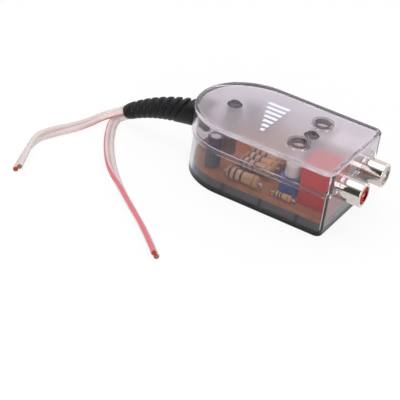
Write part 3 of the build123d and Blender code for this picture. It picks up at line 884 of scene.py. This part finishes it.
# %% The boot's radius and its grooves' lean
def boot_radius(at):
    """The boot's outer radius at a length along it, in millimetres."""
    if at < CUFF_END:
        return CUFF_RADIUS
    if at < TIP_FROM:
        return CUFF_RADIUS - (CUFF_RADIUS - TIP_RADIUS) * (at - CUFF_END) / (TIP_FROM - CUFF_END)
    return TIP_RADIUS - TIP_ROUNDING * ((at - TIP_FROM) / (BOOT_LENGTH - TIP_FROM)) ** 2


def boot_lean(at):
    """How far a ring leans back from square, in radians: most by the cuff, little at the tip."""
    rise = min(max((at - LEAN_FROM) / LEAN_RISE, 0.0), 1.0)
    fall = min(max((BOOT_LENGTH - at) / LEAN_FALL, 0.0), 1.0)
    return math.radians(RIB_LEAN) * rise * fall


print("boot radius at the middle", round(boot_radius(BOOT_LENGTH / 2), 2), "mm")


# %% Where the boot's rings stand
def boot_frame(at, radius, drop, lean):
    """Where a ring stands: its Z along the axis, its Y leaning toward the case at the top."""
    turn = BOOT_TILT + at * MM / BEND_RADIUS
    x = cover_low.x - BEND_RADIUS * (math.sin(turn) - math.sin(BOOT_TILT))
    z = BOOT_Z - BEND_RADIUS * (math.cos(BOOT_TILT) - math.cos(turn))
    ahead = Vector((-math.cos(turn), 0, -math.sin(turn)))
    upright = Vector((-math.sin(turn), 0, math.cos(turn)))
    leaning = upright * math.cos(lean) - ahead * math.sin(lean)
    along = ahead * math.cos(lean) + upright * math.sin(lean)
    axes = Matrix((leaning.cross(along), leaning, along)).transposed().to_4x4()
    size = Matrix.Diagonal((radius * MM, radius / math.cos(lean) * MM, 1, 1))
    return Matrix.Translation(Vector((x, 0, z)) - leaning * (drop * MM)) @ axes @ size


def straight_frame(inward, radius):
    """A square ring on the part of the boot that passes the wall, at a depth in from the case's end."""
    axes = Matrix(((0, 0, -1), (-1, 0, 0), (0, 1, 0))).to_4x4()
    size = Matrix.Diagonal((radius * MM, radius * MM, 1, 1))
    return Matrix.Translation((cover_low.x + inward * MM, 0, BOOT_Z)) @ axes @ size


tip = boot_frame(BOOT_LENGTH, TIP_END_RADIUS, 0.0, 0.0).translation
print("boot tip at", [round(value / MM, 2) for value in tip])

# %% Ribbed boot
CUFF_STATIONS = (1.2, 2.2, 3.2, 4.6)
TIP_STATIONS = (28.2, 29.2, 30.0, 30.4)
through_the_wall = [
    (FLANGE_END, FLANGE_RADIUS - FLANGE_CHAMFER),
    (FLANGE_END - FLANGE_CHAMFER, FLANGE_RADIUS),
    (NECK_INNER + EDGE_EASING, FLANGE_RADIUS),
    (NECK_INNER, FLANGE_RADIUS - 2 * EDGE_EASING),
    (NECK_INNER - SHOULDER, NECK_RADIUS),
    (NECK_OUTER + SHOULDER, NECK_RADIUS),
    (NECK_OUTER, CUFF_RADIUS - CUFF_CHAMFER - EDGE_EASING),
    (NECK_OUTER - CUFF_CHAMFER, CUFF_RADIUS),
]
boot_frames = [straight_frame(inward, radius) for inward, radius in through_the_wall]
stations = [(at, 0.0) for at in CUFF_STATIONS]
for groove in range(GROOVE_COUNT):
    for ring in range(GROOVE_RINGS):
        share = 2 * ring / (GROOVE_RINGS - 1) - 1
        at = FIRST_GROOVE_AT + groove * GROOVE_PITCH + share * GROOVE_HALF
        stations.append((at, (1 + math.cos(share * math.pi)) / 2))
stations += [(at, 0.0) for at in TIP_STATIONS]
for at, depth in stations:
    radius = boot_radius(at) - GROOVE_SHRINK * depth
    boot_frames.append(boot_frame(at, radius, GROOVE_DROP * depth, boot_lean(at)))
boot_frames.append(boot_frame(BOOT_LENGTH, TIP_END_RADIUS, 0.0, 0.0))
boot_bm = sweep(lambda ring: bmesh.ops.create_circle(ring, segments=56, radius=1.0), boot_frames)
boot = smooth(link(boot_bm, "ribbed_boot", boot_black, "case"), angle=50)
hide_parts("strain_relief")
print("boot rings:", len(boot_frames))

# %% [markdown]
# ## Print on the cover
# The top carries marks in white ink: a row of rising bars, and a ring of growing dots round each level
# hole, which says that a turn makes it louder. Ink could be a mask in the cover's material, but a
# refracting material blurs it, so each mark is a solid as thin as ink, and all of them are one mesh.

# %% The cover's print
INK_THICKNESS = 0.03 * MM
BAR_COUNT = 7
BAR_BASE_X = -0.6 * MM
BAR_WIDTH = 1.7 * MM
BAR_PITCH = 2.9 * MM
SHORTEST_BAR = 1.4 * MM
BAR_RISE = 1.1 * MM
FIRST_BAR_Y = -9.6 * MM
DOT_RING = 5.2 * MM
DOT_COUNT = 9
DOT_SWEEP = math.radians(260)
SMALLEST_DOT = 0.16 * MM
DOT_GROWTH = 0.22 * MM


def print_ink():
    """Thin white ink, a little worn through in specks."""
    shader = Shader("white ink")
    coordinates = shader.place()[0]
    specks = shader.noise(coordinates, 2600.0, detail=4.0)
    base = shader.mix(specks.step(0.5, 0.8) * 0.5, rgb(226, 226, 240), rgb(200, 198, 210))
    normal = shader.bump(specks, 0.01 * MM)
    return shader.finish(shader.principled(Base_Color=base, Roughness=0.45 + specks * 0.15, Normal=normal))


ink_bm = bmesh.new()
ink_z = TOP_Z + INK_THICKNESS / 2
for step in range(BAR_COUNT):
    height = SHORTEST_BAR + step * BAR_RISE
    size = Matrix.Diagonal((height, BAR_WIDTH, INK_THICKNESS, 1))
    middle = (BAR_BASE_X - height / 2, FIRST_BAR_Y + step * BAR_PITCH, ink_z)
    bmesh.ops.create_cube(ink_bm, size=1.0, matrix=Matrix.Translation(middle) @ size)
for hole in level_holes:
    for step in range(DOT_COUNT):
        share = step / (DOT_COUNT - 1)
        turn = math.pi + DOT_SWEEP * (share - 0.5)
        radius = SMALLEST_DOT + DOT_GROWTH * share
        middle = (hole.x + DOT_RING * math.cos(turn), hole.y + DOT_RING * math.sin(turn), ink_z)
        bmesh.ops.create_cone(
            ink_bm, cap_ends=True, segments=20, radius1=radius, radius2=radius, depth=INK_THICKNESS,
            matrix=Matrix.Translation(middle),
        )
cover_print = link(ink_bm, "cover_print", print_ink(), "case")
print("print on the cover:", len(cover_print.data.polygons), "faces")

# %% [markdown]
# ## Give every solid its material
# Each solid is one real part, and the real part's finish goes on it whole. A list of all the names would
# do, but the names say what each part is, so the longest ending that matches picks its material.

# %% Materials on the solids
endings = {
    "top_cover": cover_plastic,
    "lower_shell": shell_plastic,
    "base_tray": base_black,
    "case_screws": black_steel,
    "circuit_board": board_brown,
    "solder_joints": soldered,
    "strain_relief": boot_black,
    "_leads": tinned,
    "divider_resistor": divider_lacquer,
    "jack_barrel": nickel,
    "jack_contact": contact_tin,
    "ground_tag": contact_tin,
    "trimmer_base": trimmer_blue,
    "trimmer_rotor": trimmer_cream,
    "trimmer_pins": tinned,
    "capacitor_can": can_metal,
    "capacitor_sleeve": cap_sleeve,
    "film_capacitor": film_maroon,
    "lead_tails": tail_clear,
    "right_jack_housing": jack_red,
    "right_jack_insulator": jack_red,
    "left_jack_housing": jack_white,
    "left_jack_insulator": jack_white,
    "speaker_lead": wire_clear,
    "lead_cores": bare_copper,
}
# The load resistors end in a number, so what matches no ending is one of them.
for name, node in nodes.items():
    matches = sorted((ending for ending in endings if name.endswith(ending)), key=len)
    material = endings[matches[-1]] if matches else load_lacquer
    node.data.materials.clear()
    node.data.materials.append(material)
print("materials given to", len(nodes), "solids")

# %% [markdown]
# ## Floor, world and lamps
# The object stood on white paper under soft lamps. The floor and the world are white to the camera, in
# mirrors and through glass, by Light Path, while the light that they throw on the object stays plain, and
# the floor still takes the object's shadow. A studio is dark behind the camera, which draws the dark band
# on the polished barrels. A black card could stand there, but it would show from behind the object, so
# the front of the world is dark instead, and only for mirrored rays.


# %% World
def seen_directly(shader):
    """1 for rays from the camera, off gloss or through glass."""
    camera_ray = ray_kind(shader, "Camera")
    return camera_ray.most(ray_kind(shader, "Glossy")).most(ray_kind(shader, "Transmission"))


WORLD_ON_SURFACES = 0.55
DARK_SIDE = 0.93
world = bpy.data.worlds.new("studio")
bpy.context.scene.world = world
sky = Shader("studio", world)
_, toward_back, height = sky.split(sky.node("ShaderNodeTexCoord", out="Generated"))
dark_side = (0 - toward_back).step(0.2, 0.5) * height.band(0.0, 0.8, 0.1)
mirrored = ray_kind(sky, "Glossy") * dark_side * DARK_SIDE
strength = WORLD_ON_SURFACES + seen_directly(sky) * (1 - WORLD_ON_SURFACES) - mirrored
sky.finish(sky.node("ShaderNodeBackground", None, (1.0, 1.0, 1.0, 1.0), strength))
print("world strength", WORLD_ON_SURFACES, "on surfaces, 1 to the eye")

# %% Floor
FLOOR_Z = -0.02 * MM
FLOOR_REACH = 3.0
FLOOR_GLOW = 0.87
floor_shader = Shader("studio floor")
paper = floor_shader.node("ShaderNodeBsdfDiffuse", None, rgb(235, 235, 235))
glow = floor_shader.node("ShaderNodeEmission", None, (1.0, 1.0, 1.0, 1.0), 1.0)
glowing = seen_directly(floor_shader) * FLOOR_GLOW
floor_bm = bmesh.new()
just_below = Matrix.Translation((0, 0, FLOOR_Z))
bmesh.ops.create_grid(floor_bm, x_segments=1, y_segments=1, size=FLOOR_REACH, matrix=just_below)
floor = link(floor_bm, "studio_floor", floor_shader.finish(floor_shader.blend(glowing, paper, glow)))
print("floor laid at", FLOOR_Z / MM, "mm")


# %% Lamps
def lamp(name, place, size, power):
    """A soft square lamp that faces the object."""
    light = bpy.data.lights.new(name, "AREA")
    light.size = size
    light.energy = power
    holder = bpy.data.objects.new(name, light)
    holder.location = place
    holder.rotation_euler = (-Vector(place)).to_track_quat("-Z", "Y").to_euler()
    bpy.context.scene.collection.objects.link(holder)


lamp("key", (-0.3, 0.05, 0.85), size=0.8, power=3.3)
lamp("fill", (0.3, -0.6, 0.4), size=0.5, power=3.5)
lamp("back", (0.15, 0.7, 0.5), size=0.5, power=1.5)
print("lamps set")
